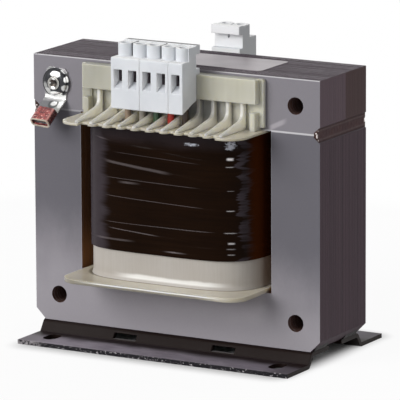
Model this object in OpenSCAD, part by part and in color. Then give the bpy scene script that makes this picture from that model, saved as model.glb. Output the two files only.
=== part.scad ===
// Control transformer: a welded EI core with an open coil, clip-on terminals and two foot rails.
// Millimetres. X runs along the core, Y from front to back, Z up from the floor under the feet.

/* [Core] */
// Width of the laminations
core_w = 150; // [144:1:170]
// Height of the laminations
core_h = 125; // [118:1:140]
// Thickness of the lamination stack
stack_d = 44; // [36:1:60]
// Width of each outer limb
limb_w = 25; // [22:0.5:27]
// Height of each yoke
yoke_h = 25; // [22:0.5:28]
// Width of the centre limb that carries the coil
tongue_w = 50; // [44:1:56]
// Diameter of the corner holes
core_hole_d = 8; // [6.8:0.1:9]
// Distance from a corner hole to the two edges beside it
core_hole_inset = 12.5; // [10:0.5:14]
// Leg of the chamfer on the two lower corners
core_chamfer = 5; // [3:0.5:7]
// Depth of the weld groove at the joint of the core
groove_d = 3; // [2:0.1:4]
// Height of the weld groove at its mouth
groove_h = 7.4; // [6:0.1:9]

/* [Feet] */
// Height of a foot rail from the floor to the core
rail_h = 7.2; // [6:0.1:12]
// Thickness of the rail's sheet steel
sheet_t = 2; // [1.5:0.1:2.5]
// Depth of the flange that lies on the floor
flange_w = 20; // [17:0.5:26]
// How far the sloping web runs out between the core and the flange
web_run = 3.5; // [2:0.1:5]
// Depth of the rail's top that is tucked under the core
rail_tuck = 16; // [12:0.5:17]
// How far a rail runs past the flat underside of the core at each end
rail_overhang = 1; // [0.6:0.1:2]
// Width of a fixing slot
slot_w = 6.6; // [5:0.1:8]
// Length of a fixing slot from end to end
slot_len = 10.6; // [9:0.1:13]
// Distance from the end of a rail to the middle of a slot
slot_end = 11.5; // [9:0.5:16]
// Distance from the foot of the web to the middle of a slot
slot_inset = 8; // [7:0.5:10]

/* [Former and coil] */
// Wall of the tube round the centre limb
tube_t = 1.6; // [1:0.1:2.5]
// Thickness of the lower flange of the former
low_flange_t = 2; // [1.2:0.1:3]
// Thickness of the upper flange of the former
high_flange_t = 1.1; // [0.8:0.1:2]
// Gap between the flanges and the outer limbs
former_gap = 2.5; // [1:0.1:4]
// How far the coil stays inside the flanges at its sides
coil_inset = 2.8; // [2:0.1:6]
// Build of the winding on the tube at the front and the back
coil_build = 14.3; // [10:0.1:18]
// How far the flanges reach past the coil at the front and the back
flange_overhang = 10.1; // [8:0.1:13]
// Corner radius of the flanges
flange_r = 9; // [5:0.5:11]
// Height of the pale band at the foot of the coil
band_h = 13.5; // [8:0.5:20]
// How far the band lies inside the tape above it
band_inset = 0.8; // [0.3:0.1:2]

/* [Terminals] */
// Pitch of the poles, the comb ribs and the lead notches
pole_pitch = 7.5; // [7.2:0.05:7.8]
// Thickness of a comb rib
rib_t = 1.5; // [1:0.1:2]
// Thickness of the bar that carries the terminals
bar_t = 5.8; // [4.5:0.1:7]
// Height of the bar
bar_h = 11.2; // [10:0.1:13]
// Depth of a terminal in front of the bar
block_d = 12.7; // [12:0.1:15]
// Height of a terminal up to the ledge in front of its screws
block_h = 23.4; // [22:0.1:27]
// How far a terminal hangs below the bar
block_drop = 5.3; // [4:0.1:6.5]
// Height of a screw tower above the ledge
tower_h = 6; // [4.5:0.1:7]
// Radius of a screw tower
tower_r = 3.5; // [3:0.05:3.55]
// Width of a wire entry
entry_w = 4.4; // [4.2:0.1:5.2]
// Height of a wire entry at the front face
entry_h = 8.7; // [7.5:0.1:9.2]
// Width of the notches between the lobes of the flanges
notch_w = 2.5; // [2.3:0.1:3.5]
// Depth of the notches
notch_d = 4; // [3:0.1:5]

/* [Leads and earth] */
// Diameter of a coil lead
lead_d = 3; // [2:0.1:4]
// Diameter of the earth bolt
bolt_d = 6; // [5:0.1:6.4]
// Width of the earth bolt's head across the flats
nut_af = 10; // [9:0.1:11]
// Diameter of the domed earth nut
nut_d = 12.4; // [10:0.1:13]
// Height of the earth nut
nut_h = 1.8; // [1.5:0.1:3]
// Diameter of the earth washer
washer_d = 14; // [12:0.5:16]
// Width of the earth lug
lug_w = 11.2; // [10.5:0.1:12]
// Angle of the lug's tail below the level
lug_tilt = 36; // [30:1:60]
// Angle by which the lug is turned on the bolt
lug_turn = 4; // [0:1:10]
// Length of the insulating sleeve on the lug
sleeve_len = 8; // [6:0.5:10]

/* [Hidden] */
$fn = 48;

// How far every cut runs past the face that it opens
overrun = 1;

// Core: places that follow from the laminations
half_w = core_w / 2;
half_d = stack_d / 2;
e_h = core_h - yoke_h;
core_z = rail_h;
joint_z = core_z + e_h;
top_z = core_z + core_h;
flat_x = half_w - core_chamfer;
window_out = half_w - limb_w;
hole_x = half_w - core_hole_inset;
low_hole_z = core_z + core_hole_inset;
high_hole_z = top_z - core_hole_inset;
groove_x = half_w - groove_d;
groove_floor_h = 2.3;
bead_r = 2.2;
blob_r = 1.7;

// Feet: the web keeps the sheet's thickness round both bends
bend_in_r = 0.7;
bend_out_r = bend_in_r + sheet_t;
bend_steps = 5;
web_rise = rail_h - sheet_t;
bend_shift = sheet_t * (norm([web_run, web_rise]) - web_run) / web_rise;
web_foot = half_d + web_run;
rail_edge = web_foot + flange_w;
rail_len = 2 * (flat_x + rail_overhang);
slot_x = rail_len / 2 - slot_end;
slot_y = web_foot + slot_inset;
web_window_x = 26;
web_window_w = 12;
web_window_lift = 0.5;
web_window_h = 2.6;
foot_weld_leg = 2;
foot_weld_bulge = 0.4;
foot_weld_inset = 2;

// Former and coil: the tube fits the centre limb, and the flanges fit the windows
former_fit = 0.4;
tube_in_x = tongue_w / 2 + former_fit;
tube_in_y = half_d + former_fit;
tube_out_x = tube_in_x + tube_t;
tube_out_y = tube_in_y + tube_t;
flange_hw = window_out - former_gap;
coil_hw = flange_hw - coil_inset;
coil_hd = tube_out_y + coil_build;
flange_hd = coil_hd + flange_overhang;
low_flange_z = core_z + yoke_h;
tube_z = low_flange_z + low_flange_t;
high_flange_z = joint_z - high_flange_t;
band_top_z = tube_z + band_h;
bulge_power = 4.2;
bulge_steps = 72;

// Comb: ribs stand on the upper flange and carry the terminal bar
bar_gap = 0.3;
bar_in = half_d + bar_gap;
bar_out = bar_in + bar_t;
bar_drop = 1.3;
bar_top = top_z - bar_drop;
bar_low = bar_top - bar_h;
bar_inset = 2.2;
bar_hw = flange_hw - bar_inset;
comb_wall_t = 1.2;
comb_wall_out = bar_in + comb_wall_t;
post_w = 5;
post_corner_r = 1.2;
post_t = 2.2;
post_gap = 1.5;
stub_w = 2.5;
stub_d = 4.5;
stub_h = 8.4;
stub_inset = 0.5;
rib_d = 3.1;
rib_out = comb_wall_out + rib_d;
rib_shoulder_h = 5;
rib_toe_h = 0.8;
rib_toe_setback = 2;
rib_bend_r = 4;
rib_toe = flange_hd - rib_toe_setback;
rib_last = floor(bar_hw / pole_pitch);
lobe_last = rib_last - 2;
lobe_setback = 1.6;
end_notch = 0.9;
lobe_r = (pole_pitch - notch_w) / 2;
lobe_nose = flange_hd - lobe_setback;
comb_end = (lobe_last + 1) * pole_pitch - lobe_r + end_notch;

// Terminals: sizes from the back face on the bar and from the lowest edge
block_z = bar_low - block_drop;
block_edge_r = 0.6;
seam_gap = 0.2;
heel_run = 3.7;
heel_low = 3.5;
heel_high = 4.6;
lip_t = 4;
lip_reach = 3.4;
lip_lift = 2.3;
lip_h = 4;
hook_reach = 3;
hook_t = 2.6;
end_plate_t = 1.2;
end_plate_run = 6.6;
tower_u = 5.1;
tower_shift = (pole_pitch - seam_gap) / 2 - tower_r;
entry_head = 5.4;
entry_top = block_h - entry_head;
entry_low = entry_top - entry_h;
entry_floor_rise = 2.7;
entry_floor_run = 4.5;
entry_floor = entry_low + entry_floor_rise;
entry_back = 2.8;
front_rows = [2, 2, 1];
front_poles = 5;
front_first_slot = -(front_poles + 1) / 2;
rear_rows = [2];
rear_poles = 2;
rear_first_slot = -rear_poles / 2;

// Clamps and screws inside the terminals
clamp_fit = 0.1;
clamp_w = entry_w - 2 * clamp_fit;
clamp_d = 5;
clamp_t = 0.7;
clamp_h = entry_top - entry_floor - clamp_fit;
screw_d = 3;
screw_head_d = 4;
screw_head_h = 2;
screw_fit = 0.2;
screw_sink = 1.2;
screw_slot_w = 0.8;

// Leads: straight up through the upper flange and into the underside of a terminal
lead_fit = 0.15;
lead_in = 3.9;
lead_seat = 6;
lead_u = bar_out + lead_in;
lead_top = block_z + lead_seat;

// Earth fixing in the upper left hole
bolt_fit = 0.2;
bolt_head_h = 4;
bolt_end = 0.3;
bolt_recess_d = 4.2;
bolt_recess_h = 1.2;
washer_t = 0.5;
lug_t = 0.8;
lug_rise = 7;
lug_corner = 1.4;
lug_bend_gap = 0.4;
lug_drop = washer_d / 2 + lug_bend_gap;
lug_len = 8.4;
nut_rim_h = 0.4;
nut_top_d = 7;
sleeve_w = 9.8;
sleeve_h = 5;
sleeve_t = 0.8;
sleeve_r = 2;
barrel_t = 0.7;
barrel_short = 1.5;

core_grey = "#8c8b90";
foot_black = "#26262a";
nylon = "#dcdccb";
terminal_grey = "#e4e8ec";
zinc = "#c9c9c6";

// Outline in X and Z drawn through the depth of the core
module along_y(depth) {
    rotate([90, 0, 0]) linear_extrude(depth, center = true) children();
}

// Profile in Y and Z drawn along X, about the middle
module along_x(length) {
    rotate([90, 0, 90]) linear_extrude(length, center = true) children();
}

// The front is the mirror image of the back
module at_front() {
    mirror([0, 1, 0]) children();
}

module rounded_rect(hw, hd, r) {
    square([2 * (hw - r), 2 * hd], center = true);
    square([2 * hw, 2 * (hd - r)], center = true);
    for (sx = [-1, 1], sy = [-1, 1]) translate([sx * (hw - r), sy * (hd - r)]) circle(r);
}

// Middle of a slot between two ribs of the comb
function slot_x_at(slot) = (slot + 0.5) * pole_pitch;

// Right half of an outline closed with its own mirror image
function both_halves(right) =
    concat(right, [for (i = [len(right) - 1 : -1 : 0]) [-right[i][0], right[i][1]]]);

// Arc of radius r in place of the corner b of an outline, between its neighbours a and c
function round_corner(a, b, c, r) =
    let (u = (a - b) / norm(a - b), v = (c - b) / norm(c - b), turn = 180 - acos(u * v),
        middle = b + r / cos(turn / 2) * (u + v) / norm(u + v),
        start = b + r * tan(turn / 2) * u - middle, end = b + r * tan(turn / 2) * v - middle)
    [for (i = [0 : bend_steps]) let (t = turn * i / bend_steps)
        middle + (sin(turn - t) * start + sin(t) * end) / sin(turn)];

module core_hole(x, z) {
    translate([x, 0, z]) rotate([90, 0, 0])
        cylinder(d = core_hole_d, h = stack_d + 2 * overrun, center = true);
}

module e_core() {
    right = [[flat_x, 0], [half_w, core_chamfer], [half_w, e_h - groove_h / 2],
        [groove_x, e_h - groove_floor_h / 2], [groove_x, e_h], [window_out, e_h], [window_out, yoke_h],
        [tongue_w / 2, yoke_h], [tongue_w / 2, e_h]];
    color(core_grey) difference() {
        translate([0, 0, core_z]) along_y(stack_d) polygon(both_halves(right));
        for (s = [-1, 1]) core_hole(s * hole_x, low_hole_z);
    }
}

module i_yoke() {
    right = [[groove_x, 0], [groove_x, groove_floor_h / 2], [half_w, groove_h / 2], [half_w, yoke_h]];
    color(core_grey) difference() {
        translate([0, 0, joint_z]) along_y(stack_d) polygon(both_halves(right));
        for (s = [-1, 1]) core_hole(s * hole_x, high_hole_z);
    }
}

// Weld bead on the floor of the groove, with a round blob where the torch stopped
module joint_weld(side) {
    groove = [[groove_x, -groove_floor_h / 2], [half_w, -groove_h / 2],
        [half_w, groove_h / 2], [groove_x, groove_floor_h / 2]];
    color("#6b6462") mirror([side < 0 ? 1 : 0, 0, 0]) translate([0, 0, joint_z]) {
        along_y(stack_d) intersection() {
            polygon(groove);
            translate([groove_x, 0]) circle(bead_r);
        }
        intersection() {
            translate([half_w - blob_r, -side * half_d, 0]) sphere(blob_r);
            translate([half_w, -side * (half_d + blob_r), 0])
                cube([4 * blob_r, 2 * blob_r, 2 * blob_r], center = true);
        }
    }
}

module slot_cut() {
    straight = slot_len - slot_w;
    for (s = [-1, 1]) translate([0, s * straight / 2, -overrun])
        cylinder(d = slot_w, h = sheet_t + 2 * overrun);
    translate([-slot_w / 2, -straight / 2, -overrun]) cube([slot_w, straight, sheet_t + 2 * overrun]);
}

// Folded sheet: floor flange, sloping web and a top tucked under the core
module foot_rail() {
    low_out = [rail_edge, 0];
    high_out = [rail_edge, sheet_t];
    high_in = [half_d - rail_tuck, rail_h];
    low_in = [half_d - rail_tuck, web_rise];
    foot_above = [web_foot, sheet_t];
    foot_below = [web_foot - bend_shift, 0];
    head_above = [half_d, rail_h];
    head_below = [half_d - bend_shift, web_rise];
    profile = concat([low_out, high_out], round_corner(high_out, foot_above, head_above, bend_in_r),
        round_corner(foot_above, head_above, high_in, bend_out_r), [high_in, low_in],
        round_corner(low_in, head_below, foot_below, bend_in_r),
        round_corner(head_below, foot_below, low_out, bend_out_r));
    window_y = half_d - bend_shift - overrun;
    color(foot_black) difference() {
        along_x(rail_len) polygon(profile);
        for (s = [-1, 1]) translate([s * slot_x, slot_y, 0]) slot_cut();
        for (s = [-1, 1])
            translate([s * web_window_x - web_window_w / 2, window_y, sheet_t + web_window_lift])
                cube([web_window_w, web_run + bend_shift + 2 * overrun, web_window_h]);
    }
}

// Fillets in the corner between the core's chamfer and the two rails
module foot_welds(side) {
    crown = [rail_overhang + foot_weld_bulge, (foot_weld_leg - foot_weld_bulge) / 2];
    fillet = [[flat_x, 0], [flat_x + foot_weld_leg, foot_weld_leg], [flat_x, 0] + crown,
        [flat_x + rail_overhang, 0]];
    weld_len = rail_tuck - 2 * foot_weld_inset;
    color("#77757a") mirror([side < 0 ? 1 : 0, 0, 0]) for (s = [-1, 1])
        translate([0, s * (half_d - rail_tuck / 2), core_z]) along_y(weld_len) polygon(fillet);
}

module limb_opening() {
    square([2 * tube_in_x, 2 * tube_in_y], center = true);
}

module former_tube() {
    color(nylon) translate([0, 0, tube_z]) linear_extrude(high_flange_z - tube_z) difference() {
        square([2 * tube_out_x, 2 * tube_out_y], center = true);
        limb_opening();
    }
}

module former_lower_flange() {
    color(nylon) translate([0, 0, low_flange_z]) linear_extrude(low_flange_t) difference() {
        rounded_rect(flange_hw, flange_hd, flange_r);
        limb_opening();
    }
}

// Round-nosed lobes in line with the ribs, with a notch for a lead between each two
module lobed_edge() {
    difference() {
        rounded_rect(flange_hw, flange_hd, flange_r);
        for (s = [-1, 1]) translate([-comb_end, s * flange_hd - notch_d]) square([2 * comb_end, 2 * notch_d]);
    }
    for (i = [-lobe_last : lobe_last], s = [-1, 1]) translate([i * pole_pitch, s * (lobe_nose - lobe_r)]) {
        circle(lobe_r);
        translate([0, -s * notch_d / 2]) square([2 * lobe_r, notch_d], center = true);
    }
}

module lead_hole() {
    circle(d = lead_d + 2 * lead_fit);
}

module former_upper_flange() {
    color(nylon) translate([0, 0, high_flange_z]) linear_extrude(high_flange_t) difference() {
        lobed_edge();
        limb_opening();
        for (i = [0 : front_poles - 1]) translate([slot_x_at(front_first_slot + i), -lead_u]) lead_hole();
        for (i = [0 : rear_poles - 1]) translate([slot_x_at(rear_first_slot + i), lead_u]) lead_hole();
    }
}

// Rectangle with bulging sides and round corners, the way a wound coil sets
function bulge(wave) = sign(wave) * pow(abs(wave), 2 / bulge_power);
function bulged(hw, hd) = [for (i = [0 : bulge_steps - 1]) let (t = i * 360 / bulge_steps)
    [hw * bulge(cos(t)), hd * bulge(sin(t))]];

module coil_ring(hw, hd, height) {
    linear_extrude(height) difference() {
        polygon(bulged(hw, hd));
        square([2 * tube_out_x, 2 * tube_out_y], center = true);
    }
}

module margin_band() {
    color("#d5d2c8") translate([0, 0, tube_z]) coil_ring(coil_hw - band_inset, coil_hd - band_inset, band_h);
}

module coil_wrap() {
    color("#241c18") translate([0, 0, band_top_z]) coil_ring(coil_hw, coil_hd, high_flange_z - band_top_z);
}

// Bar on a thin wall behind the ribs, with a post and a short stub at each end
module terminal_bar() {
    foot = [flange_hw, joint_z + post_gap];
    corner = [flange_hw, bar_top];
    inner = [flange_hw - post_w, bar_top];
    post = concat([[inner.x, foot.y], foot], round_corner(foot, corner, inner, post_corner_r), [inner]);
    color(nylon) {
        translate([-bar_hw, bar_in, bar_low]) cube([2 * bar_hw, bar_t, bar_h]);
        translate([-bar_hw, bar_in, joint_z]) cube([2 * bar_hw, comb_wall_t, bar_top - joint_z]);
        for (s = [-1, 1]) {
            mirror([s < 0 ? 1 : 0, 0, 0]) translate([0, bar_in + post_t / 2, 0])
                along_y(post_t) polygon(post);
            translate([s * (bar_hw - stub_inset - stub_w / 2) - stub_w / 2, bar_in, joint_z])
                cube([stub_w, comb_wall_t + stub_d, stub_h]);
        }
    }
}

// Ribs run out from the wall along the flange and up to the bar
module comb_ribs() {
    toe = [rib_toe, joint_z + rib_toe_h];
    shoulder = [rib_out, joint_z + rib_shoulder_h];
    head = [rib_out, bar_low];
    profile = concat([[comb_wall_out, joint_z], [rib_toe, joint_z], toe],
        round_corner(toe, shoulder, head, rib_bend_r), [head, [comb_wall_out, bar_low]]);
    color(nylon) for (i = [1 - rib_last : rib_last - 1])
        translate([i * pole_pitch, 0, 0]) along_x(rib_t) polygon(profile);
}

// The towers of a two-pole terminal stand against its outer sides
function tower_x(i, poles) =
    (i + 0.5) * pole_pitch + (poles > 1 ? sign(i + 0.5 - poles / 2) * tower_shift : 0);

// Housing with a lip above the bar, a hook that rests on it and a tower round each screw
module block_body(poles) {
    chin = [block_d, 0];
    brow = [block_d, block_h];
    nape = [0, block_h];
    profile = concat(round_corner(chin, brow, nape, block_edge_r),
        [nape, [0, heel_high], [heel_run, heel_low], chin]);
    body_w = poles * pole_pitch - seam_gap;
    hook_z = block_drop + bar_h;
    translate([poles * pole_pitch / 2, 0, 0]) along_x(body_w) polygon(profile);
    translate([seam_gap / 2, -lip_reach, block_h + lip_lift]) cube([body_w, lip_t, lip_h]);
    translate([seam_gap / 2, -hook_reach, hook_z]) cube([body_w, hook_reach + heel_run, hook_t]);
    for (i = [0 : poles - 1]) translate([tower_x(i, poles), tower_u, block_h]) {
        cylinder(r = tower_r, h = tower_h);
        translate([-tower_r, -tower_u, 0]) cube([2 * tower_r, tower_u, tower_h]);
    }
}

// Plate that closes the open end of a row
module end_plate(poles) {
    translate([poles * pole_pitch - seam_gap / 2 - end_plate_t, 0, heel_high])
        cube([end_plate_t, end_plate_run, block_h + tower_h - heel_high]);
}

// Wire entry with a floor that leads the wire up into the clamp
module entry_cut() {
    profile = [[block_d + overrun, entry_low], [block_d, entry_low], [block_d - entry_floor_run, entry_floor],
        [entry_back, entry_floor], [entry_back, entry_top], [block_d + overrun, entry_top]];
    along_x(entry_w) polygon(profile);
}

module terminal(poles, ends_row = false) {
    color(terminal_grey) difference() {
        union() {
            block_body(poles);
            if (ends_row) end_plate(poles);
        }
        for (i = [0 : poles - 1]) {
            translate([(i + 0.5) * pole_pitch, 0, 0]) entry_cut();
            translate([tower_x(i, poles), tower_u, entry_top - overrun])
                cylinder(d = screw_head_d + 2 * screw_fit, h = block_h + tower_h - entry_top + 2 * overrun);
            translate([(i + 0.5) * pole_pitch, lead_in, -overrun])
                cylinder(d = lead_d + 2 * lead_fit, h = lead_seat + overrun);
        }
    }
}

module clamp() {
    color(zinc) translate([-clamp_w / 2, entry_back + clamp_fit, entry_floor]) difference() {
        cube([clamp_w, clamp_d, clamp_h]);
        translate([clamp_t, -overrun, clamp_t])
            cube([clamp_w - 2 * clamp_t, clamp_d + 2 * overrun, clamp_h - 3 * clamp_t]);
    }
}

module screw() {
    low = entry_floor + clamp_h;
    high = block_h + tower_h - screw_sink;
    color(zinc) translate([0, tower_u, 0]) difference() {
        union() {
            translate([0, 0, low]) cylinder(d = screw_d, h = high - low);
            translate([0, 0, high - screw_head_h]) cylinder(d = screw_head_d, h = screw_head_h);
        }
        translate([-screw_head_d, -screw_slot_w / 2, high - screw_slot_w])
            cube([2 * screw_head_d, screw_slot_w, screw_head_h]);
    }
}

// Seat of a terminal whose first pole is at a slot of the comb
module on_bar(slot) {
    translate([slot * pole_pitch, bar_out, block_z]) children();
}

module clamps(first, poles) {
    for (i = [0 : poles - 1]) on_bar(first + i + 0.5) clamp();
}

function poles_before(rows, m) = m == 0 ? 0 : rows[m - 1] + poles_before(rows, m - 1);

module screws(first, rows) {
    for (m = [0 : len(rows) - 1], i = [0 : rows[m] - 1])
        on_bar(first + poles_before(rows, m)) translate([tower_x(i, rows[m]), 0, 0]) screw();
}

// Straight lead from the top of the winding through the flange into a terminal
module lead(slot) {
    translate([slot_x_at(slot), lead_u, high_flange_z]) cylinder(d = lead_d, h = lead_top - high_flange_z);
}

// Stations along the earth bolt, out from the front face of the core
module on_earth_axis(out) {
    at_front() translate([-hole_x, half_d + out, high_hole_z]) rotate([-90, 0, 0]) children();
}

// Bolt through the stack, with its hexagon head behind and a hollow end in front
module earth_bolt() {
    reach = lug_t + washer_t + nut_h + bolt_end;
    color(zinc) on_earth_axis(0) difference() {
        union() {
            translate([0, 0, -stack_d]) cylinder(d = bolt_d, h = stack_d + reach);
            translate([0, 0, -stack_d - bolt_head_h])
                cylinder(d = nut_af / cos(30), h = bolt_head_h, $fn = 6);
        }
        translate([0, 0, reach - bolt_recess_h]) cylinder(d1 = 0, d2 = bolt_recess_d, h = bolt_recess_h);
    }
}

module earth_washer() {
    color(zinc) on_earth_axis(lug_t) difference() {
        cylinder(d = washer_d, h = washer_t);
        translate([0, 0, -overrun]) cylinder(d = bolt_d + 2 * bolt_fit, h = washer_t + 2 * overrun);
    }
}

// Low round nut with a domed front
module earth_nut() {
    bore = bolt_d / 2 + bolt_fit;
    dome_run = (nut_d - nut_top_d) / 2;
    dome_h = nut_h - nut_rim_h;
    dome = [for (i = [0 : bend_steps]) let (a = 90 * i / bend_steps)
        [nut_top_d / 2 + dome_run * cos(a), nut_rim_h + dome_h * sin(a)]];
    color(zinc) on_earth_axis(lug_t + washer_t) rotate_extrude()
        polygon(concat([[bore, 0], [nut_d / 2, 0]], dome, [[bore, nut_h]]));
}

// The lug is turned a little on the bolt
module on_lug() {
    at_front() translate([-hole_x, half_d, high_hole_z]) rotate([0, lug_turn, 0]) children();
}

// Frame of the lug's tail: Y runs down and out along it from the bend
module on_lug_tail() {
    on_lug() translate([0, lug_t / 2, -lug_drop]) rotate([-lug_tilt, 0, 0]) children();
}

module flat_tube(hw, hh, r, wall, length) {
    rotate([-90, 0, 0]) linear_extrude(length) difference() {
        rounded_rect(hw, hh, r);
        rounded_rect(hw - wall, hh - wall, r - wall);
    }
}

// Strip that lies on the core and folds out along the tail, with a mitred bend and cut top corners
module lug_strip() {
    bend = [lug_t / 2, -lug_drop];
    mitre = lug_t / 2 * [1, cos(lug_tilt) / (1 + sin(lug_tilt))];
    side = lug_t / 2 * [sin(lug_tilt), cos(lug_tilt)];
    tail = bend + lug_len * [cos(lug_tilt), -sin(lug_tilt)];
    profile = [[0, lug_rise], [lug_t, lug_rise], bend + mitre, tail + side, tail - side, bend - mitre];
    difference() {
        along_x(lug_w) polygon(profile);
        for (s = [-1, 1]) translate([s * lug_w / 2, lug_t / 2, lug_rise]) rotate([0, 45, 0])
            cube([sqrt(2) * lug_corner, lug_t + 2 * overrun, sqrt(2) * lug_corner], center = true);
    }
}

module earth_lug() {
    color("#d4d5d2") {
        difference() {
            on_lug() lug_strip();
            on_earth_axis(-overrun) cylinder(d = bolt_d + 2 * bolt_fit, h = lug_t + 2 * overrun);
        }
        on_lug_tail() translate([0, lug_len, 0]) crimp_barrel();
    }
}

// Barrel closed towards the strip, which runs into it, and open at its far end
module crimp_barrel() {
    hw = sleeve_w / 2 - sleeve_t;
    hh = sleeve_h / 2 - sleeve_t;
    r = sleeve_r - sleeve_t;
    rotate([-90, 0, 0]) difference() {
        linear_extrude(sleeve_len - barrel_short) rounded_rect(hw, hh, r);
        translate([0, 0, barrel_t]) linear_extrude(sleeve_len)
            rounded_rect(hw - barrel_t, hh - barrel_t, r - barrel_t);
    }
    translate([-hw, -barrel_t, -lug_t / 2]) cube([2 * hw, 1.5 * barrel_t, lug_t]);
}

module lug_sleeve() {
    color("#b8433c") on_lug_tail() translate([0, lug_len, 0])
        flat_tube(sleeve_w / 2, sleeve_h / 2, sleeve_r, sleeve_t, sleeve_len);
}

e_core();
i_yoke();
joint_weld(-1);  // left_joint_weld
joint_weld(1);  // right_joint_weld
at_front() foot_rail();  // front_foot_rail
foot_rail();  // rear_foot_rail
foot_welds(-1);  // left_foot_welds
foot_welds(1);  // right_foot_welds
former_tube();
former_lower_flange();
former_upper_flange();
margin_band();
coil_wrap();
at_front() terminal_bar();  // front_terminal_bar
terminal_bar();  // rear_terminal_bar
at_front() comb_ribs();  // front_comb_ribs
comb_ribs();  // rear_comb_ribs
at_front() on_bar(front_first_slot) terminal(2);  // front_terminal_left
at_front() on_bar(front_first_slot + 2) terminal(2);  // front_terminal_middle
at_front() on_bar(front_first_slot + 4) terminal(1, true);  // front_terminal_right
on_bar(rear_first_slot) terminal(2, true);  // rear_terminal
at_front() clamps(front_first_slot, front_poles);  // front_terminal_clamps
clamps(rear_first_slot, rear_poles);  // rear_terminal_clamps
at_front() screws(front_first_slot, front_rows);  // front_terminal_screws
screws(rear_first_slot, rear_rows);  // rear_terminal_screws
color("#d59a63") at_front() lead(front_first_slot);  // front_lead_1
color("#e3d9c6") at_front() lead(front_first_slot + 1);  // front_lead_2
color("#4f7a55") at_front() lead(front_first_slot + 2);  // front_lead_3
color("#c4322a") at_front() lead(front_first_slot + 3);  // front_lead_4
color("#4a352c") at_front() lead(front_first_slot + 4);  // front_lead_5
color("#c4322a") lead(rear_first_slot);  // rear_lead_1
color("#4a352c") lead(rear_first_slot + 1);  // rear_lead_2
earth_bolt();
earth_washer();
earth_lug();
earth_nut();
lug_sleeve();
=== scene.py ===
import bmesh
import bpy
import math
import random
from mathutils import Matrix, Vector, noise
from mathutils.geometry import tessellate_polygon


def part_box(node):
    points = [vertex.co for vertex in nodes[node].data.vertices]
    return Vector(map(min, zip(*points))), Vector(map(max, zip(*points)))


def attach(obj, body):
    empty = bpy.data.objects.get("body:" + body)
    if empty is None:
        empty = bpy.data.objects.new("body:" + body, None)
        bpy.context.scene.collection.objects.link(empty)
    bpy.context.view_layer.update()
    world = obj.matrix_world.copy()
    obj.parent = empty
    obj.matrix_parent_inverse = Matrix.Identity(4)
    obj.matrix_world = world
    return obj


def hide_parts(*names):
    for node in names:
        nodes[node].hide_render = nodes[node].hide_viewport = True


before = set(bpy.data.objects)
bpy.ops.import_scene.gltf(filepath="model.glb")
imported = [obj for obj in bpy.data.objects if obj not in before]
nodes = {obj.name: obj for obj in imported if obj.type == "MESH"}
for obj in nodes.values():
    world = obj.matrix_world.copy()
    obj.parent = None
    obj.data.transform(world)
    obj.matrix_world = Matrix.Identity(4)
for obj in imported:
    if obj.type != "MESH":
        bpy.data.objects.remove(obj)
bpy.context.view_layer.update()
mm = 0.001
print("frame loaded,", len(nodes), "nodes")


# socket arithmetic for shaders
class Wire:
    def __init__(self, paint, socket):
        self.paint, self.socket = paint, socket

    def maths(self, operation, *values):
        return self.paint.node("ShaderNodeMath", {"operation": operation}, dict(enumerate(values)))

    def __add__(self, other):
        return self.maths("ADD", self, other)

    def __radd__(self, other):
        return self.maths("ADD", other, self)

    def __sub__(self, other):
        return self.maths("SUBTRACT", self, other)

    def __rsub__(self, other):
        return self.maths("SUBTRACT", other, self)

    def __mul__(self, other):
        return self.maths("MULTIPLY", self, other)

    def __rmul__(self, other):
        return self.maths("MULTIPLY", other, self)

    def __truediv__(self, other):
        return self.maths("DIVIDE", self, other)

    def __rtruediv__(self, other):
        return self.maths("DIVIDE", other, self)

    def __pow__(self, other):
        return self.maths("POWER", self, other)

    def __rpow__(self, other):
        return self.maths("POWER", other, self)

    def __abs__(self):
        return self.maths("ABSOLUTE", self)

    def wave(self):
        return self.maths("COSINE", self)

    def sign(self):
        return self.maths("SIGN", self)

    def whole(self):
        return self.maths("FLOOR", self)

    def most(self, other):
        return self.maths("MAXIMUM", self, other)

    def least(self, other):
        return self.maths("MINIMUM", self, other)

    def ramp(self, start, end, low=0.0, high=1.0):     # smooth step from start to end
        return self.paint.node("ShaderNodeMapRange", {"interpolation_type": "SMOOTHSTEP"},
            {"Value": self, "From Min": start, "From Max": end, "To Min": low, "To Max": high})

    def zone(self, start, full, fade, end):            # up from start to full, down from fade to end
        return self.ramp(start, full) * self.ramp(end, fade)

    def near(self, inner, outer):                      # 1 within inner of zero, 0 past outer
        return 1.0 - abs(self).ramp(inner, outer)


def socketName(word):                                  # coatWeight stands for Coat Weight
    words = "".join(" " + c if c.isupper() else c for c in word)
    return words[0].upper() + words[1:].replace("Ior", "IOR")


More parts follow.
